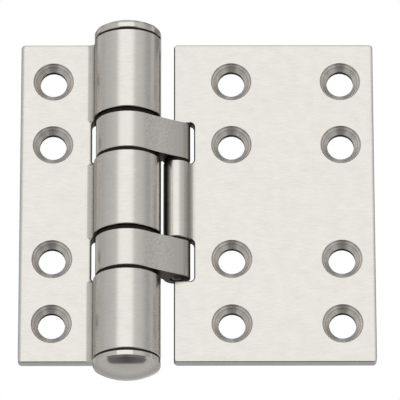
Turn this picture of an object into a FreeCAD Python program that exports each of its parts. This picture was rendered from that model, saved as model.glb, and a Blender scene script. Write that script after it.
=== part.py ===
import FreeCAD, Part
import math
import os

# Double-pivot link hinge in stainless steel, open flat. Millimetres.
# The pieces are drawn about the axis of the main pin: X runs across the leaves towards the wide one, Y from the
# front of the hinge to its back, and Z up along the pins from mid-height. Writing them out moves the origin to the
# back face of the wide leaf, in the middle of its eight screw holes.

# Leaves
leaf_height = 100.6
leaf_thickness = 3.5
leaf_corner_radius = 1.2
edge_break = 0.2              # bevel along the rims of plates, big knuckles and caps
leaf_front = 2.3              # from the main pin's axis back to the front faces
narrow_leaf_reach = 31.72     # from the main pin's axis to the outer edge
wide_leaf_reach = 58.22       # from the link pin's axis to the outer edge
wide_leaf_lip = 0.84          # how far the inner edge passes the link pin's axis
notch_corner_radius = 1.3

# Screw holes
screw_hole_radius = 3.95
countersink_radius = 6.0
countersink_angle = 90.0
end_row_inset = 11.9          # from a leaf's end to its nearest row
row_pitch = 20.25             # from that row to the next
narrow_column_inset = 9.65    # from the outer edge
wide_column_inset = 9.78      # from the outer edge to the outer column
inner_column_distance = 16.14  # from the link pin's axis to the inner column

# Pivots
link_pin_depth = 0.7          # from the leaves' front faces back to the link pin's axis
pin_end_chamfer = 0.5

# Barrel of the narrow leaf
barrel_radius = 9.9
knuckle_wall = 3.9            # from the main pin to the outside
middle_knuckle_length = 23.4
barrel_front_fillet = 1.8
barrel_back_fillet = 1.0

# Small knuckle of the wide leaf
small_knuckle_radius = 3.95
small_knuckle_wall = 1.2      # from the bush to the outside
small_front_fillet = 1.7
small_back_fillet = 0.8
small_edge_break = 0.2

# Links
link_height = 11.3
ring_inset = 0.55             # a ring is this much smaller than the barrel
eye_extra = 0.05              # an eye is this much bigger than the small knuckle
flank_radius = 80.0           # the hollow of the front flank
valley_ease = 0.225           # the back fillet's radius over the least that spans from ring to eye
link_edge_break = 0.15

# Bushes
main_bush_wall = 0.95
main_flange_inset = 0.35      # a flange is this much smaller than the ring it lies on
small_bush_wall = 0.7
small_flange_inset = 0.2      # the same, against the small knuckle
bush_middle_gap = 0.4         # left free between two sleeves that meet in one bore

# Caps
cap_wall_height = 1.95
cap_dome_height = 3.0
cap_shoulder_break = 0.4      # bevel between wall and dome
cap_spigot_length = 6.0
seal_thickness = 0.6
seal_inset = 0.2              # the seal is this much smaller than the barrel

# Clearances
link_gap = 1.25               # between a link's ring and the knuckles beside it
eye_gap = 0.85                # between a link's eye and the small knuckle, and the plate above it
barrel_gap = 0.95             # between the barrel and the small knuckle
ring_to_notch = 1.2           # between a link's ring and the narrow leaf
eye_to_notch = 1.1            # between a link's eye and the wide leaf
running_fit = 0.05            # radial, pin in bush
end_play = 0.1                # between a bush's flange and the face it runs on
fixed_fit = 0.01              # radial, for what is pressed in
pin_to_spigot = 0.5
link_pin_recess = 0.2


# Heights
half_height = leaf_height / 2
link_bottom = middle_knuckle_length / 2 + link_gap
link_top = link_bottom + link_height
small_knuckle_half = link_bottom - eye_gap
end_row = half_height - end_row_inset
inner_row = end_row - row_pitch

# Radii and thicknesses
ring_radius = barrel_radius - ring_inset
eye_radius = small_knuckle_radius + eye_extra
main_pin_radius = barrel_radius - knuckle_wall
main_bush_bore = main_pin_radius + running_fit
main_bush_radius = main_bush_bore + main_bush_wall
main_flange_radius = ring_radius - main_flange_inset
main_flange_thickness = link_gap - end_play
small_bush_radius = small_knuckle_radius - small_knuckle_wall
small_bush_bore = small_bush_radius - small_bush_wall
link_pin_radius = small_bush_bore - running_fit
small_flange_radius = small_knuckle_radius - small_flange_inset
small_flange_thickness = eye_gap - end_play

# Places seen from above
leaf_back = leaf_front + leaf_thickness
pivot_distance = barrel_radius + barrel_gap + small_knuckle_radius
pivot_depth = leaf_front + link_pin_depth
pivot_across = math.sqrt(pivot_distance ** 2 - pivot_depth ** 2)
narrow_column = narrow_column_inset - narrow_leaf_reach
inner_column = pivot_across + inner_column_distance
outer_column = pivot_across + wide_leaf_reach - wide_column_inset

up = FreeCAD.Vector(0, 0, 1)
main_axis = FreeCAD.Vector(0, 0, 0)
link_axis = FreeCAD.Vector(pivot_across, pivot_depth, 0)
own_origin = FreeCAD.Vector((inner_column + outer_column) / 2, leaf_back, 0)


def point(x, y, z=0.0):
    return FreeCAD.Vector(x, y, z)


def line(a, b):
    return Part.makeLine(a, b)


def arc(a, b, centre, long_way=False):
    """Arc from a to b about centre, the short way round or the long one."""
    radius = (a - centre).Length
    towards = ((a + b) * 0.5 - centre).normalize()
    middle = centre + towards * (-radius if long_way else radius)
    return Part.Arc(a, middle, b).toShape()


def solid_from(edges, direction):
    """Face inside a loop of edges, pushed along a direction."""
    return Part.Face(Part.Wire(edges)).extrude(direction)


def circles_meet(centre_a, radius_a, centre_b, radius_b, side):
    """Point at radius_a from centre_a and radius_b from centre_b; side is +1 at the back and -1 at the front."""
    between = centre_b - centre_a
    distance = between.Length
    along = (radius_a ** 2 - radius_b ** 2 + distance ** 2) / (2 * distance)
    off = math.sqrt(radius_a ** 2 - along ** 2)
    ahead = between * (1 / distance)
    across = FreeCAD.Vector(-ahead.y, ahead.x, 0)
    return centre_a + ahead * along + across * (off * side)


def on_circle(centre, radius, towards):
    return centre + (towards - centre).normalize() * radius


def tube(axis, outer, inner, bottom, top):
    base = axis + point(0, 0, bottom)
    body = Part.makeCylinder(outer, top - bottom, base)
    return body.cut(Part.makeCylinder(inner, top - bottom, base))


def mirrored(shape):
    """The same piece at the other end of the hinge."""
    return shape.mirror(point(0, 0, 0), up)


def edges_where(shape, test):
    return [edge for edge in shape.Edges if test(edge)]


def lies_level(edge, z):
    box = edge.BoundBox
    return abs(box.ZMin - z) < 1e-4 and abs(box.ZMax - z) < 1e-4


def lies_at_depth(edge, y):
    box = edge.BoundBox
    return abs(box.YMin - y) < 1e-4 and abs(box.YMax - y) < 1e-4


# Plates and their screw holes

def plate_outline(left, right, bottom, top, radius):
    """Rounded rectangle seen from the front, on the plane y = 0."""
    r = radius
    corners = [
        (point(left + r, 0, bottom), point(right - r, 0, bottom)),
        (point(right, 0, bottom + r), point(right, 0, top - r)),
        (point(right - r, 0, top), point(left + r, 0, top)),
        (point(left, 0, top - r), point(left, 0, bottom + r)),
    ]
    centres = [
        point(right - r, 0, bottom + r),
        point(right - r, 0, top - r),
        point(left + r, 0, top - r),
        point(left + r, 0, bottom + r),
    ]
    edges = []
    for i, (start, end) in enumerate(corners):
        edges.append(line(start, end))
        edges.append(arc(end, corners[(i + 1) % 4][0], centres[i]))
    return edges


def rounded_block(left, right, bottom, top, radius, front, back):
    """Rounded rectangle seen from the front, from one depth to another."""
    block = solid_from(plate_outline(left, right, bottom, top, radius), point(0, back - front, 0))
    block.translate(point(0, front, 0))
    return block


def screw_hole(x, z):
    """Countersunk hole through a leaf, with its cone at the front."""
    cone_depth = (countersink_radius - screw_hole_radius) / math.tan(math.radians(countersink_angle / 2))
    inward = point(0, 1, 0)
    hole = Part.makeCylinder(screw_hole_radius, leaf_thickness, point(x, leaf_front, z), inward)
    cone = Part.makeCone(countersink_radius, screw_hole_radius, cone_depth, point(x, leaf_front, z), inward)
    return hole.fuse(cone)


def with_screw_holes(leaf, columns):
    for x in columns:
        for z in (end_row, inner_row, -inner_row, -end_row):
            leaf = leaf.cut(screw_hole(x, z))
    return leaf


# Narrow leaf: plate and three big knuckles in one piece, with two notches for the links

def barrel_section():
    """Plate and barrel seen from above: two straight faces that run into a circle through fillets."""
    front_centre_y = leaf_front - barrel_front_fillet
    front_reach = barrel_radius + barrel_front_fillet
    front_centre = point(-math.sqrt(front_reach ** 2 - front_centre_y ** 2), front_centre_y)
    back_centre_y = leaf_back + barrel_back_fillet
    back_reach = barrel_radius + barrel_back_fillet
    back_centre = point(-math.sqrt(back_reach ** 2 - back_centre_y ** 2), back_centre_y)

    outer_front = point(-narrow_leaf_reach, leaf_front)
    outer_back = point(-narrow_leaf_reach, leaf_back)
    front_on_plate = point(front_centre.x, leaf_front)
    back_on_plate = point(back_centre.x, leaf_back)
    front_on_barrel = on_circle(main_axis, barrel_radius, front_centre)
    back_on_barrel = on_circle(main_axis, barrel_radius, back_centre)
    return [
        line(outer_front, front_on_plate),
        arc(front_on_plate, front_on_barrel, front_centre),
        arc(front_on_barrel, back_on_barrel, main_axis, long_way=True),
        arc(back_on_barrel, back_on_plate, back_centre),
        line(back_on_plate, outer_back),
        line(outer_back, outer_front),
    ]


def narrow_leaf():
    leaf = solid_from(barrel_section(), up * leaf_height)
    leaf.translate(point(0, 0, -half_height))

    beyond = 2 * barrel_radius
    blank = rounded_block(
        -narrow_leaf_reach, beyond, -half_height, half_height, leaf_corner_radius, -beyond, beyond
    )
    leaf = leaf.common(blank)

    notch_edge = -(ring_radius + ring_to_notch)
    notch = rounded_block(
        notch_edge, beyond, link_bottom - link_gap, link_top + link_gap, notch_corner_radius, -beyond, beyond
    )
    leaf = leaf.cut(notch).cut(mirrored(notch))

    rims = edges_where(leaf, lambda edge: is_leaf_rim(edge) or is_knuckle_rim(edge))
    leaf = leaf.makeChamfer(edge_break, rims)
    leaf = leaf.cut(Part.makeCylinder(main_pin_radius + fixed_fit, leaf_height, point(0, 0, -half_height)))
    return with_screw_holes(leaf, [narrow_column])


def is_leaf_rim(edge):
    """Whether an edge runs round the front or back face of a plate."""
    return lies_at_depth(edge, leaf_front) or lies_at_depth(edge, leaf_back)


def is_knuckle_rim(edge):
    """Whether an edge runs round a big knuckle's end, with the fillets that lead to the plate."""
    ends = (half_height, link_top + link_gap, link_bottom - link_gap)
    level = any(lies_level(edge, z) or lies_level(edge, -z) for z in ends)
    return level and edge.Curve.TypeId == "Part::GeomCircle"


# Wide leaf: plate and one small knuckle in one piece, between two notches for the links' eyes

def small_knuckle_section():
    """The small knuckle and the strip of plate that carries it, seen from above."""
    front_drop = pivot_depth - (leaf_front - small_front_fillet)
    front_reach = small_knuckle_radius + small_front_fillet
    front_centre = link_axis + point(math.sqrt(front_reach ** 2 - front_drop ** 2), -front_drop)
    back_rise = leaf_back + small_back_fillet - pivot_depth
    back_reach = small_knuckle_radius + small_back_fillet
    back_centre = link_axis + point(math.sqrt(back_reach ** 2 - back_rise ** 2), back_rise)

    front_on_plate = point(front_centre.x, leaf_front)
    back_on_plate = point(back_centre.x, leaf_back)
    front_on_knuckle = on_circle(link_axis, small_knuckle_radius, front_centre)
    back_on_knuckle = on_circle(link_axis, small_knuckle_radius, back_centre)
    return [
        line(point(inner_column, leaf_front), front_on_plate),
        arc(front_on_plate, front_on_knuckle, front_centre),
        arc(front_on_knuckle, back_on_knuckle, link_axis, long_way=True),
        arc(back_on_knuckle, back_on_plate, back_centre),
        line(back_on_plate, point(inner_column, leaf_back)),
        line(point(inner_column, leaf_back), point(inner_column, leaf_front)),
    ]


def wide_leaf():
    left = pivot_across - wide_leaf_lip
    right = pivot_across + wide_leaf_reach
    leaf = rounded_block(left, right, -half_height, half_height, leaf_corner_radius, leaf_front, leaf_back)

    notch_edge = pivot_across + eye_radius + eye_to_notch
    notch = rounded_block(
        0,
        notch_edge,
        small_knuckle_half,
        link_top + eye_gap,
        notch_corner_radius,
        leaf_front,
        leaf_back,
    )
    leaf = leaf.cut(notch).cut(mirrored(notch))
    leaf = leaf.makeChamfer(edge_break, edges_where(leaf, is_leaf_rim))

    half = small_knuckle_half
    knuckle = solid_from(small_knuckle_section(), up * (2 * half))
    knuckle.translate(up * -half)
    rims = edges_where(knuckle, lambda edge: lies_level(edge, half) or lies_level(edge, -half))
    knuckle = knuckle.makeChamfer(small_edge_break, rims)
    leaf = leaf.fuse(knuckle).removeSplitter()

    bore_radius = small_bush_radius + fixed_fit
    leaf = leaf.cut(Part.makeCylinder(bore_radius, 2 * half, link_axis - up * half))
    return with_screw_holes(leaf, [inner_column, outer_column])


# Links: a big ring and a small eye, joined by a hollow flank at the front and a tight fillet at the back

def link_section():
    valley_radius = (pivot_distance - ring_radius - eye_radius) / 2 + valley_ease
    flank_centre = circles_meet(
        main_axis, ring_radius + flank_radius, link_axis, eye_radius + flank_radius, -1
    )
    valley_centre = circles_meet(
        main_axis, ring_radius + valley_radius, link_axis, eye_radius + valley_radius, 1
    )
    ring_front = on_circle(main_axis, ring_radius, flank_centre)
    ring_back = on_circle(main_axis, ring_radius, valley_centre)
    eye_front = on_circle(link_axis, eye_radius, flank_centre)
    eye_back = on_circle(link_axis, eye_radius, valley_centre)
    return [
        arc(ring_front, eye_front, flank_centre),
        arc(eye_front, eye_back, link_axis, long_way=True),
        arc(eye_back, ring_back, valley_centre),
        arc(ring_back, ring_front, main_axis, long_way=True),
    ]


def upper_link():
    link = solid_from(link_section(), up * link_height)
    link.translate(up * link_bottom)
    rims = edges_where(link, lambda edge: lies_level(edge, link_bottom) or lies_level(edge, link_top))
    link = link.makeChamfer(link_edge_break, rims)
    link = link.cut(Part.makeCylinder(main_bush_radius + fixed_fit, link_height, up * link_bottom))
    eye_bore = Part.makeCylinder(link_pin_radius + fixed_fit, link_height, link_axis + up * link_bottom)
    return link.cut(eye_bore)


# Pins

def round_pin(axis, radius, half_length):
    pin = Part.makeCylinder(radius, 2 * half_length, axis - up * half_length)
    ends = edges_where(pin, lambda edge: lies_level(edge, half_length) or lies_level(edge, -half_length))
    return pin.makeChamfer(pin_end_chamfer, ends)


def main_pin():
    return round_pin(main_axis, main_pin_radius, half_height - cap_spigot_length - pin_to_spigot)


def link_pin():
    return round_pin(link_axis, link_pin_radius, link_top - link_pin_recess)


# Bushes: a sleeve in the bore and a flange in the gap beside it

def upper_link_bush(upper_end):
    """One of the two bushes in the upper link's ring."""
    middle = link_bottom + link_height / 2
    if upper_end:
        sleeve = tube(main_axis, main_bush_radius, main_bush_bore, middle + bush_middle_gap / 2, link_top)
        flange = tube(
            main_axis, main_flange_radius, main_bush_bore, link_top, link_top + main_flange_thickness
        )
    else:
        sleeve = tube(main_axis, main_bush_radius, main_bush_bore, link_bottom, middle - bush_middle_gap / 2)
        flange = tube(
            main_axis, main_flange_radius, main_bush_bore, link_bottom - main_flange_thickness, link_bottom
        )
    return sleeve.fuse(flange).removeSplitter()


def small_knuckle_bush():
    """The bush in the upper end of the small knuckle."""
    seat = small_knuckle_half
    sleeve = tube(link_axis, small_bush_radius, small_bush_bore, bush_middle_gap / 2, seat)
    flange = tube(link_axis, small_flange_radius, small_bush_bore, seat, seat + small_flange_thickness)
    return sleeve.fuse(flange).removeSplitter()


# Caps and the seals under them

def cap_seal():
    return tube(main_axis, barrel_radius - seal_inset, main_pin_radius, half_height, half_height + seal_thickness)


def top_cap():
    """Turned cap: a spigot in the barrel's bore, a short straight wall and a shallow dome."""
    base = half_height + seal_thickness
    spigot_end = half_height - cap_spigot_length
    wall_top = base + cap_wall_height
    summit = wall_top + cap_dome_height
    dome_radius = (barrel_radius ** 2 + cap_dome_height ** 2) / (2 * cap_dome_height)
    dome_centre = point(0, 0, summit - dome_radius)
    centre_bottom = point(0, 0, spigot_end)
    spigot_bottom = point(main_pin_radius, 0, spigot_end)
    spigot_top = point(main_pin_radius, 0, base)
    wall_foot = point(barrel_radius, 0, base)
    wall_head = point(barrel_radius, 0, wall_top)
    top = point(0, 0, summit)
    section = [
        line(centre_bottom, spigot_bottom),
        line(spigot_bottom, spigot_top),
        line(spigot_top, wall_foot),
        line(wall_foot, wall_head),
        arc(wall_head, top, dome_centre),
        line(top, centre_bottom),
    ]
    cap = Part.Face(Part.Wire(section)).revolve(point(0, 0, 0), up, 360)
    shoulder = edges_where(cap, lambda edge: lies_level(edge, wall_top))
    cap = cap.makeChamfer(cap_shoulder_break, shoulder)
    foot = edges_where(cap, lambda edge: lies_level(edge, base) and edge.Curve.Radius > main_pin_radius)
    return cap.makeChamfer(edge_break, foot)


def write(node, shape):
    placed = shape.copy()
    placed.translate(own_origin * -1)
    placed.exportStep("parts/" + node + ".step")


upper = upper_link()
upper_top_bush = upper_link_bush(upper_end=True)
upper_bottom_bush = upper_link_bush(upper_end=False)
small_bush = small_knuckle_bush()
cap = top_cap()
seal = cap_seal()

pieces = {
    "narrow_leaf": narrow_leaf(),
    "wide_leaf": wide_leaf(),
    "upper_link": upper,
    "lower_link": mirrored(upper),
    "main_pin": main_pin(),
    "link_pin": link_pin(),
    "upper_link_top_bush": upper_top_bush,
    "upper_link_bottom_bush": upper_bottom_bush,
    "lower_link_top_bush": mirrored(upper_bottom_bush),
    "lower_link_bottom_bush": mirrored(upper_top_bush),
    "small_knuckle_top_bush": small_bush,
    "small_knuckle_bottom_bush": mirrored(small_bush),
    "top_cap": cap,
    "bottom_cap": mirrored(cap),
    "top_cap_seal": seal,
    "bottom_cap_seal": mirrored(seal),
}

os.makedirs("parts", exist_ok=True)
for node, shape in pieces.items():
    write(node, shape)
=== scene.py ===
import math

import bpy
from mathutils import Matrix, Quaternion, Vector

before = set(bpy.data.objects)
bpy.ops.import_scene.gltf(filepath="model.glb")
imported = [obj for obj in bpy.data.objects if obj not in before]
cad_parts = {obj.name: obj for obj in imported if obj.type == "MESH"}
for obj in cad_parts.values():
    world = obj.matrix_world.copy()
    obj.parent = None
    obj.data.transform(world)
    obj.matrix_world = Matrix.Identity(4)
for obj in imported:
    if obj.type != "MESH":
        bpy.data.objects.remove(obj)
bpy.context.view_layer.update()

bpy.ops.object.select_all(action="DESELECT")


# The narrow leaf
# A plate with four countersunk screw holes and three big knuckles, cast in one piece of stainless steel.
# The outside is ground to a fine satin, and the countersinks keep the rings of the cutter. Shade is painted
# dark into the bores, the notches, the corner between plate and knuckles and the ends of the knuckles.

class Wire:
    """One output among the nodes of a tree, with arithmetic."""

    def __init__(self, nodes, socket):
        self.nodes = nodes
        self.socket = socket

    def math(self, operation, *others):
        node = self.nodes.node("Math", {"operation": operation})
        for place, value in zip(node.inputs, (self, *others)):
            self.nodes.put(place, value)
        return Wire(self.nodes, node.outputs[0])

    def __add__(self, other):
        return self.math("ADD", other)

    def __sub__(self, other):
        return self.math("SUBTRACT", other)

    def __rsub__(self, other):
        return self * -1.0 + other

    def __mul__(self, other):
        return self.math("MULTIPLY", other)

    def __truediv__(self, other):
        return self.math("DIVIDE", other)

    def __pow__(self, other):
        return self.math("POWER", other)

    def __abs__(self):
        return self.math("ABSOLUTE")

    __radd__ = __add__
    __rmul__ = __mul__

    def most(self, *others):
        """The greatest of this and the others."""
        greatest = self
        for other in others:
            greatest = greatest.math("MAXIMUM", other)
        return greatest

    def between(self, low, high):
        """0 below low, 1 above high and even in between; the other way round where low is the greater."""
        spread = self.nodes.node("MapRange", Value=self, From_Min=low, From_Max=high)
        return self.nodes.out(spread, "Result")

    def over(self, limit, fade):
        """1 above the limit and 0 below it, fading on either side."""
        return self.between(limit - fade, limit + fade)

    def under(self, limit, fade):
        """1 below the limit and 0 above it, fading on either side."""
        return self.between(limit + fade, limit - fade)


class Nodes:
    """A node tree, with one method that makes every node."""

    def __init__(self, tree):
        self.tree = tree

    def node(self, kind, settings=None, **inputs):
        made = self.tree.nodes.new("ShaderNode" + kind)
        for key, value in (settings or {}).items():
            setattr(made, key, value)
        for key, value in inputs.items():
            self.put(made.inputs[key.replace("_", " ")], value)
        return made

    def put(self, place, value):
        if isinstance(value, Wire):
            self.tree.links.new(value.socket, place)
        else:
            place.default_value = value

    def out(self, node, name):
        return Wire(self, node.outputs[name])

    def apart(self, vector):
        """The x, y and z of a vector."""
        split = self.node("SeparateXYZ", Vector=vector)
        return [self.out(split, axis) for axis in "XYZ"]


class Finish(Nodes):
    """The material of a piece."""

    def __init__(self, name):
        self.material = bpy.data.materials.new(name)
        self.material.use_nodes = True
        super().__init__(self.material.node_tree)
        self.shader = self.tree.nodes["Principled BSDF"]
        self.surface = self.node("TexCoord")

    def set(self, **values):
        for key, value in values.items():
            self.put(self.shader.inputs[key.replace("_", " ")], value)

    def place(self):
        """Where a point of the surface is: x, y and z in metres."""
        return self.apart(self.out(self.surface, "Object"))

    def facing(self):
        """Which way the surface faces there: the x, y and z of its normal."""
        return self.apart(self.out(self.surface, "Normal"))

    def grain(self, stretch, size, detail=2.0):
        """Noise about 0.5, its features of a size in metres and drawn out along the axes by stretch."""
        scale = [1.0 / (factor * size) for factor in stretch]
        drawn = self.node("Mapping", Vector=self.out(self.surface, "Object"), Scale=scale)
        noise = self.node("TexNoise", Vector=self.out(drawn, "Vector"), Scale=1.0, Detail=detail)
        return self.out(noise, "Fac")

    def rings(self, distance, pitch):
        """Uneven turning marks about an axis, from the distance to it."""
        noise = self.node("TexNoise", {"noise_dimensions": "1D"}, W=distance / pitch, Scale=1.0, Detail=1.0)
        return self.out(noise, "Fac")

    def blend(self, share, low, high):
        """Colour that goes from low to high with share."""
        mixed = self.node("Mix", {"data_type": "RGBA"})
        self.put(mixed.inputs["Factor"], share)
        for name, colour in (("A", low), ("B", high)):
            place = next(s for s in mixed.inputs if s.name == name and s.type == "RGBA")
            self.put(place, colour if isinstance(colour, Wire) else (*colour, 1.0))
        return Wire(self, next(s for s in mixed.outputs if s.type == "RGBA"))

    def bump(self, height):
        """Relief, from its height in metres."""
        raised = self.node("Bump", Height=height, Distance=1.0)
        self.set(Normal=self.out(raised, "Normal"))

    def coat(self, *nodes):
        """Puts the material on CAD nodes."""
        for name in nodes:
            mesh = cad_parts[name].data
            mesh.materials.clear()
            mesh.materials.append(self.material)


# Colours, and how rough each finish is or how much rougher than the satin.
steel_light, steel_shade = (0.81, 0.782, 0.738), (0.73, 0.702, 0.655)
cut_light, cut_shade = (0.99, 0.955, 0.905), (0.60, 0.57, 0.53)
# Painted shade: the dark steel and the nearly black steel stand for shade in hollows, on hidden sides and
# on level faces.
painted_shade_steel = (0.10, 0.085, 0.07)
painted_deep_shade_steel = (0.045, 0.036, 0.028)
satin_roughness, fine_roughness, cone_roughness = 0.2, 0.1, 0.09
painted_shade_roughness, painted_deep_shade_roughness = 0.2, 0.2

# The satin's grain and clouds, the range in which most of the noise lies, and the cutter's rings.
fine_size, cloud_size, fine_share = 0.00035, 0.004, 0.6
noise_low, noise_high = 0.3, 0.7
ring_pitch, ring_depth = 0.00040, 0.000022

# What both leaves have alike. A hair is how far a sharp border between finishes fades on either side.
hair = 0.00005
outer_row, inner_row = 0.0384, 0.01815
countersink_radius = 0.0060
leaf_end, end_strip, edge_strip = 0.0503, 0.0006, 0.0004
end_rim, top_wear, bottom_wear = 0.0014, 0.00030, 0.00016
notch_corner, dark_rim = 0.0013, 0.00035
level_from, level_full = 0.8, 0.95
side_from, side_full = 0.5, 0.3
edge_on = 0.1

# Where the narrow leaf's own screws, edges, flare, notches and unground corner are.
narrow_column = 0.068853
narrow_outer_edge = -0.0785
narrow_side_rim, narrow_side_wear = 0.0014, 0.00045
barrel_left = -0.0566
flare_start, flare_middle = -0.05928, -0.05847
flare_low, flare_high, flare_fade = 0.000134, 0.000292, 0.0003
narrow_notch_edge, narrow_notch_low, narrow_notch_high = -0.05733, 0.0117, 0.0255
corner_left, corner_left_fade = -0.05670, 0.00015
corner_right, corner_right_fade = -0.05555, 0.00040
corner_shade = 0.42


def from_screw_axis(x, z, column):
    """Distance from the nearest screw hole's axis, where columns and rows lie alike about the middle."""
    row_middle, row_offset = (outer_row + inner_row) / 2, (outer_row - inner_row) / 2
    aside = abs(x) - column
    above = abs(abs(z) - row_middle) - row_offset
    return (aside * aside + above * above) ** 0.5


def worn_rim(to_rim, width, wear):
    """Relief of a rim that is rubbed round, from the distance to it."""
    slope = 1.0 - to_rim.between(0.0, width)
    return slope * slope * -wear


def bare_faces(finish):
    """The level faces and the faces to the side, both only further in than the leaf's ends."""
    x, y, z = finish.place()
    facing_x, facing_y, facing_z = finish.facing()
    inside_ends = abs(z).under(leaf_end - end_strip, 2 * hair)
    level = abs(facing_z).between(level_from, level_full)
    side = abs(facing_y).between(side_from, side_full)
    return level * inside_ends, side * inside_ends


def past_notch(z, low, high):
    """Distance along the pins past the nearest end of a notch, and below 0 beside the notch."""
    return abs(abs(z) - (low + high) / 2) - (high - low) / 2


def notch_rim(past_side, z, low, high):
    """The rim of the two notches and round their corners, from the distance past their side."""
    across = (past_side + notch_corner).most(0.0)
    along = (past_notch(z, low, high) + notch_corner).most(0.0)
    outside = (across * across + along * along) ** 0.5 - notch_corner
    return outside.under(dark_rim, hair) * across.between(0.0, 2 * hair)


def leaf_finish(finish, column, relief, painted_shade, painted_deep_shade):
    """Fine satin with the cutter's rings in the countersinks, and painted shade, dark or nearly black,
    where the last two masks are 1.
    """
    x, y, z = finish.place()
    fine = finish.grain(stretch=(6.0, 6.0, 1.0), size=fine_size)
    clouds = finish.grain(stretch=(1.0, 1.0, 1.0), size=cloud_size)
    tone = fine * fine_share + clouds * (1 - fine_share)
    to_axis = from_screw_axis(x, z, column)
    cone = to_axis.under(countersink_radius, hair)
    turned = finish.rings(to_axis, ring_pitch)
    satin = finish.blend(tone.between(noise_low, noise_high), steel_shade, steel_light)
    cut = finish.blend(turned.between(noise_low, noise_high), cut_shade, cut_light)
    open_face = finish.blend(cone, satin, cut)
    rougher = painted_shade * painted_shade_roughness + painted_deep_shade * painted_deep_shade_roughness + cone * cone_roughness
    # Painted shade: the dark steel over the first mask and the nearly black steel over the second.
    finish.set(
        Base_Color=finish.blend(painted_deep_shade, finish.blend(painted_shade, open_face, painted_shade_steel), painted_deep_shade_steel),
        Metallic=1.0,
        Roughness=fine * fine_roughness + satin_roughness + rougher,
    )
    finish.bump(cone * turned * ring_depth + relief)


narrow_steel = Finish("satin_cast_steel_narrow_leaf")
x, y, z = narrow_steel.place()
facing_x, facing_y, facing_z = narrow_steel.facing()
level_face, side_face = bare_faces(narrow_steel)
on_plate = x.under(barrel_left, 2 * hair)
off_edge = x.over(narrow_outer_edge + edge_strip, 2 * hair)
end_rims = worn_rim(leaf_end - z, end_rim, top_wear) + worn_rim(leaf_end + z, end_rim, bottom_wear)
rims = worn_rim(x - narrow_outer_edge, narrow_side_rim, narrow_side_wear) + end_rims * on_plate

# The plate's front rises a little towards the barrel, slowly at first, but not beside the notches.
slow = x.between(flare_start, flare_middle)
steep = x.between(flare_middle, barrel_left)
rising = slow * slow * flare_low + (2.0 - steep) * steep * flare_high
beyond_notch = past_notch(z, narrow_notch_low, narrow_notch_high).over(0.0, flare_fade)
flare = rising * beyond_notch * facing_y.between(edge_on, 0.0) * on_plate

# Painted shade: dark on the side faces, round the notches and in the corner where the plate turns into the
# barrel, nearly black on the level faces.
beside_notch = notch_rim(narrow_notch_edge - x, z, narrow_notch_low, narrow_notch_high)
from_plate = x.between(corner_left, corner_left + corner_left_fade)
to_barrel = x.between(corner_right, corner_right - corner_right_fade)
painted_corner_shade = from_plate * to_barrel * facing_y.between(edge_on, -edge_on) * corner_shade
painted_shade = (side_face * on_plate * off_edge).most(beside_notch, painted_corner_shade)
leaf_finish(narrow_steel, narrow_column, rims + flare, painted_shade, level_face)
narrow_steel.coat("narrow_leaf")


# The wide leaf
# The other plate, with eight countersunk screw holes and one small knuckle between two notches, cast and
# ground in the same way. Shade is painted dark on its inner edge, in the notches, in the crease beside the
# knuckle and on the side of the knuckle that the barrel hides.

wide_column = 0.01615
wide_inner_edge, wide_outer_edge = -0.03313, 0.02593
wide_side_rim, wide_side_wear = 0.0011, 0.00020
wide_notch_edge, wide_notch_low, wide_notch_high = -0.02719, 0.0121, 0.0251
knuckle_half, knuckle_right, knuckle_fade = 0.0122, -0.0285, 0.0005
hidden_from, hidden_full = -0.38, -0.74
crease_left, crease_middle, crease_right = -0.0301, -0.0288, -0.0265
crease_shade, crease_fade = 0.42, 0.0003

wide_steel = Finish("satin_cast_steel_wide_leaf")
x, y, z = wide_steel.place()
facing_x, facing_y, facing_z = wide_steel.facing()
level_face, side_face = bare_faces(wide_steel)
off_edge = x.under(wide_outer_edge - edge_strip, 2 * hair)
end_rims = worn_rim(leaf_end - z, end_rim, top_wear) + worn_rim(leaf_end + z, end_rim, bottom_wear)
rims = worn_rim(wide_outer_edge - x, wide_side_rim, wide_side_wear) + end_rims

# Painted shade: dark on the knuckle's hidden side, along the inner edge, round the notches, in the crease
# and on the side faces; nearly black on the level faces.
along_knuckle = abs(z).between(knuckle_half, knuckle_half - 2 * hair)
across_knuckle = x.between(knuckle_right, knuckle_right - knuckle_fade)
hidden_side = along_knuckle * across_knuckle * facing_x.between(hidden_from, hidden_full)
beyond_knuckle = abs(z).between(knuckle_half, knuckle_half + 2 * hair)
inner_rim = (x - wide_inner_edge).under(dark_rim, hair) * beyond_knuckle
beside_notch = notch_rim(x - wide_notch_edge, z, wide_notch_low, wide_notch_high)
across_crease = x.between(crease_left, crease_middle) * x.between(crease_right, crease_middle)
along_crease = abs(z).between(knuckle_half + crease_fade, knuckle_half)
crease = across_crease * along_crease * facing_y.between(edge_on, -edge_on) * crease_shade
painted_shade = (side_face * off_edge).most(hidden_side, inner_rim, beside_notch, crease)
leaf_finish(wide_steel, wide_column, rims, painted_shade, level_face)
wide_steel.coat("wide_leaf")


# The links
# Two short steel links, each with a big ring on the main pin and a small eye on the second pin. The ring is
# drawn over with a fine abrasive and the flank has a fine mottle, with light painted on it to make it
# brighter.
# Shade is painted on the eye, a little darker, and on the eye's far side and the faces above and below,
# dark.

link_light, link_shade = (0.79, 0.76, 0.72), (0.73, 0.70, 0.655)
# Painted light on the flank, whose mottle is brighter than the ring, and painted shade on the eye, which is
# darker.
painted_light_flank_high, painted_light_flank_low = (0.95, 0.905, 0.86), (0.79, 0.755, 0.72)
painted_shade_eye = (0.60, 0.565, 0.525)
link_roughness, streak_roughness = 0.23, 0.04
streak_size = 0.00040
mottle_size, mottle_low, mottle_high = 0.00055, 0.35, 0.65
flank_left, flank_full = -0.0430, -0.0410
eye_left, eye_right = -0.0370, -0.0305
eye_side_from, eye_side_full = 0.75, 0.92

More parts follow.
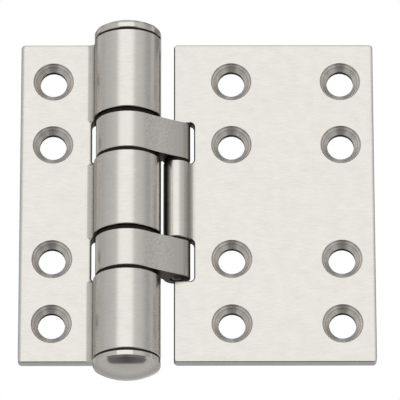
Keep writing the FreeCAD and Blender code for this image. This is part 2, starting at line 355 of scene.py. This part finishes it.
link_steel = Finish("satin_link_steel")
x, y, z = link_steel.place()
facing_x, facing_y, facing_z = link_steel.facing()
streaks = link_steel.grain(stretch=(3.0, 3.0, 1.0), size=streak_size, detail=1.0)
mottle = link_steel.grain(stretch=(1.3, 1.3, 1.0), size=mottle_size).between(mottle_low, mottle_high)
flank = x.between(flank_left, flank_full)
eye = x.between(eye_left, eye_right)
# Painted shade: dark on the faces above and below and on the eye's far side.
painted_shade_level = abs(facing_z).between(level_from, level_full)
eye_side = facing_x.between(eye_side_from, eye_side_full) * eye
drawn_over = link_steel.blend(streaks, link_shade, link_light)
painted_light_flank = link_steel.blend(mottle, painted_light_flank_low, painted_light_flank_high)
outside = link_steel.blend(eye, link_steel.blend(flank, drawn_over, painted_light_flank), painted_shade_eye)
link_steel.set(
    Base_Color=link_steel.blend(painted_shade_level.most(eye_side), outside, painted_shade_steel),
    Metallic=1.0,
    Roughness=streaks * streak_roughness + link_roughness + painted_shade_level * painted_shade_roughness,
)
link_steel.coat("upper_link", "lower_link")


# The caps
# A domed steel cap closes each end of the barrel, pressed in by a spigot. They are turned on a lathe, so
# fine rings run round the wall and about the middle of the dome.

barrel_x, barrel_y = -0.046783, -0.0058
cap_ring_pitch = 0.00035
cap_roughness, cap_ring_roughness = 0.10, 0.05

cap_steel = Finish("turned_cap_steel")
x, y, z = cap_steel.place()
from_middle = ((x - barrel_x) ** 2.0 + (y - barrel_y) ** 2.0) ** 0.5
ring_marks = cap_steel.rings(from_middle + abs(z), cap_ring_pitch)
cap_steel.set(
    Base_Color=cap_steel.blend(ring_marks, steel_shade, steel_light),
    Metallic=1.0,
    Roughness=ring_marks * cap_ring_roughness + cap_roughness,
)
cap_steel.coat("top_cap", "bottom_cap")


# The seals and bushes
# Thin dark rings of polymer: a seal in the groove beside each cap, and bushes whose flanges fill the gaps
# beside the links and the small knuckle. They are turned from bar and stay matt.

polymer_light, polymer_shade = (0.022, 0.017, 0.012), (0.012, 0.009, 0.006)
polymer_roughness, speck_roughness, speck_size = 0.55, 0.1, 0.0004

dark_polymer = Finish("dark_polymer")
speck = dark_polymer.grain(stretch=(1.0, 1.0, 1.0), size=speck_size)
dark_polymer.set(
    Base_Color=dark_polymer.blend(speck, polymer_shade, polymer_light),
    Roughness=speck * speck_roughness + polymer_roughness,
    Specular_IOR_Level=0.15,
)
dark_polymer.coat(
    "top_cap_seal",
    "bottom_cap_seal",
    "upper_link_top_bush",
    "upper_link_bottom_bush",
    "lower_link_top_bush",
    "lower_link_bottom_bush",
    "small_knuckle_top_bush",
    "small_knuckle_bottom_bush",
)


# The pins
# A thick main pin inside the barrel and a thin one through the links' eyes, both of ground steel bar and
# pressed in. Only the thin pin's ends show, in the eyes.

# Painted shade: the ends of both pins are darker than their sides.
pin_end_painted_shade = (0.16, 0.14, 0.12)
pin_roughness, ground_roughness, pin_end_roughness = 0.18, 0.08, 0.15
ground_size = 0.0003
pin_end_from, pin_end_full = 0.3, 0.6

pin_steel = Finish("ground_pin_steel")
facing_x, facing_y, facing_z = pin_steel.facing()
ground = pin_steel.grain(stretch=(1.0, 1.0, 20.0), size=ground_size)
pin_end = abs(facing_z).between(pin_end_from, pin_end_full)
pin_side = pin_steel.blend(ground, steel_shade, steel_light)
pin_steel.set(
    Base_Color=pin_steel.blend(pin_end, pin_side, pin_end_painted_shade),
    Metallic=1.0,
    Roughness=ground * ground_roughness + pin_roughness + pin_end * pin_end_roughness,
)
pin_steel.coat("main_pin", "link_pin")


# The room
# A pale floor far below, a white room, one broad soft light in front above the hinge, and a dark table top
# with a bench in front of it below the hinge, which the domes and the countersinks mirror.

floor_drop, floor_size = 2.4, 14.0
bpy.ops.mesh.primitive_plane_add(size=floor_size, location=(0, 0, -floor_drop))
floor = bpy.context.object
floor.name = "floor"
floor_paint = Finish("pale_floor")
floor_paint.set(
    Base_Color=(0.85, 0.85, 0.84, 1.0),
    Roughness=0.8,
    Emission_Color=(1.0, 1.0, 1.0, 1.0),
    Emission_Strength=0.35,
)
floor.data.materials.append(floor_paint.material)
floor.visible_glossy = False

world = bpy.data.worlds.new("white_room")
bpy.context.scene.world = world
world.use_nodes = True
room = Nodes(world.node_tree)
across, away, upward = room.apart(room.out(room.node("TexCoord"), "Generated"))
degrees = 180 / math.pi
bearing = across.math("ARCTAN2", away * -1.0) * degrees
height = upward.math("ARCSINE") * degrees

# The light, in degrees of bearing and height.
panel_left, panel_right, panel_low, panel_high, panel_fade = -33.0, 22.0, -26.0, 62.0, 3.0
panel_across = bearing.over(panel_left, panel_fade) * bearing.under(panel_right, panel_fade)
panel_upright = height.over(panel_low, panel_fade) * height.under(panel_high, panel_fade)
panel = panel_across * panel_upright

# The table and the bench, in slopes seen from the hinge. The table has a narrow waist in front and a
# hollow back edge, and the bench is a bow round the front. Both are paler towards their sides.
soft_edge, least_drop = 0.03, 0.01
table_front, table_back, back_hollow = -0.75, 0.41, 0.95
table_half, table_waist = 0.56, 0.42
waist_end, widest_front, widest_back, corner_back = -0.3, 0.0, 0.42, 0.62
bench_reach, bench_bow, bench_half, bench_end = 1.49, 0.16, 0.26, -0.62
drop = (upward * -1.0).most(least_drop)
table_x, table_y = across / drop, away / drop
aside = abs(table_x)
wider = table_y.between(waist_end, widest_front) * table_y.between(corner_back, widest_back)
past_side = aside - (wider * (table_half - table_waist) + table_waist)
past_back = table_y - aside * aside * back_hollow
table = (
    past_side.under(0.0, soft_edge)
    * table_y.over(table_front, soft_edge)
    * past_back.under(table_back, soft_edge)
)
from_hinge = (table_x * table_x + table_y * table_y) ** 0.5
from_bench = from_hinge - aside * aside * bench_bow - bench_reach
bench = abs(from_bench).under(bench_half, soft_edge) * table_y.under(bench_end, soft_edge)


def wall(middle, half_width, fade):
    """1 on a stretch of the wall and 0 beyond its soft ends, in degrees of bearing."""
    return abs(bearing - middle).under(half_width, fade)


# What else stands about the hinge: pale and greyer walls on either side of the light, dark doors behind,
# and a dark strip low down behind, which the level undersides mirror.
pale = (
    wall(middle=34.0, half_width=16.0, fade=10.0) * 0.09
    + wall(middle=-46.0, half_width=15.0, fade=7.0) * 0.05
    + wall(middle=97.0, half_width=4.0, fade=5.0) * 0.12
)
greyer = (
    wall(middle=77.0, half_width=12.0, fade=8.0) * 0.16
    + wall(middle=-96.0, half_width=12.0, fade=8.0) * 0.08
)
doors = (
    wall(middle=127.5, half_width=22.5, fade=6.0) * 0.30
    + wall(middle=-155.0, half_width=21.0, fade=4.5) * 0.27
)
wall_foot, wall_foot_fade = -1.0, 5.0
walls = (pale - greyer - doors) * height.over(wall_foot, wall_foot_fade)

strip_from, strip_full = 100.0, 130.0
strip_low, strip_low_fade, strip_high, strip_high_fade = -31.0, 11.0, -5.0, 3.0
strip_shade = 0.14
strip_upright = height.over(strip_low, strip_low_fade) * height.under(strip_high, strip_high_fade)
strip = abs(bearing).between(strip_from, strip_full) * strip_upright * strip_shade

# How bright each is, and the room as the camera itself sees it, which is plain white.
panel_light, room_light, low_light = 1.08, 0.55, 0.49
low_from, low_full = -35.0, -60.0
table_light, side_light, side_reach = 0.09, 0.16, 0.5
surround = height.between(low_from, low_full) * (low_light - room_light) + room_light + walls - strip
lit = surround + panel * (panel_light - surround)
dark_top = aside.math("MINIMUM", side_reach) * side_light + table_light
glow = lit + table.most(bench) * (dark_top - lit)
seen = room.out(room.node("LightPath"), "Is Camera Ray")
background = world.node_tree.nodes["Background"]
room.put(background.inputs["Strength"], glow + seen * (1.0 - glow))
background.inputs["Color"].default_value = (1.0, 1.0, 1.0, 1.0)

bpy.context.scene.view_settings.view_transform = "Standard"

# The photograph's camera, found from the edges of plates, knuckles and holes: a long lens, below the middle
# and looking up, turned a little about its own axis.
camera_data = bpy.data.cameras.new("camera")
camera_data.lens = 463.5
camera_data.sensor_width = 36.0
camera_data.clip_end = 20.0
camera = bpy.data.objects.new("camera", camera_data)
bpy.context.scene.collection.objects.link(camera)
camera.location = (-0.02545, -1.4066, -0.5717)
target = Vector((-0.02545, -0.0058, -0.00046))
roll = math.radians(-0.087)
level_look = (target - camera.location).to_track_quat("-Z", "Y")
camera.rotation_euler = (level_look @ Quaternion((0.0, 0.0, 1.0), roll)).to_euler()
bpy.context.scene.camera = camera
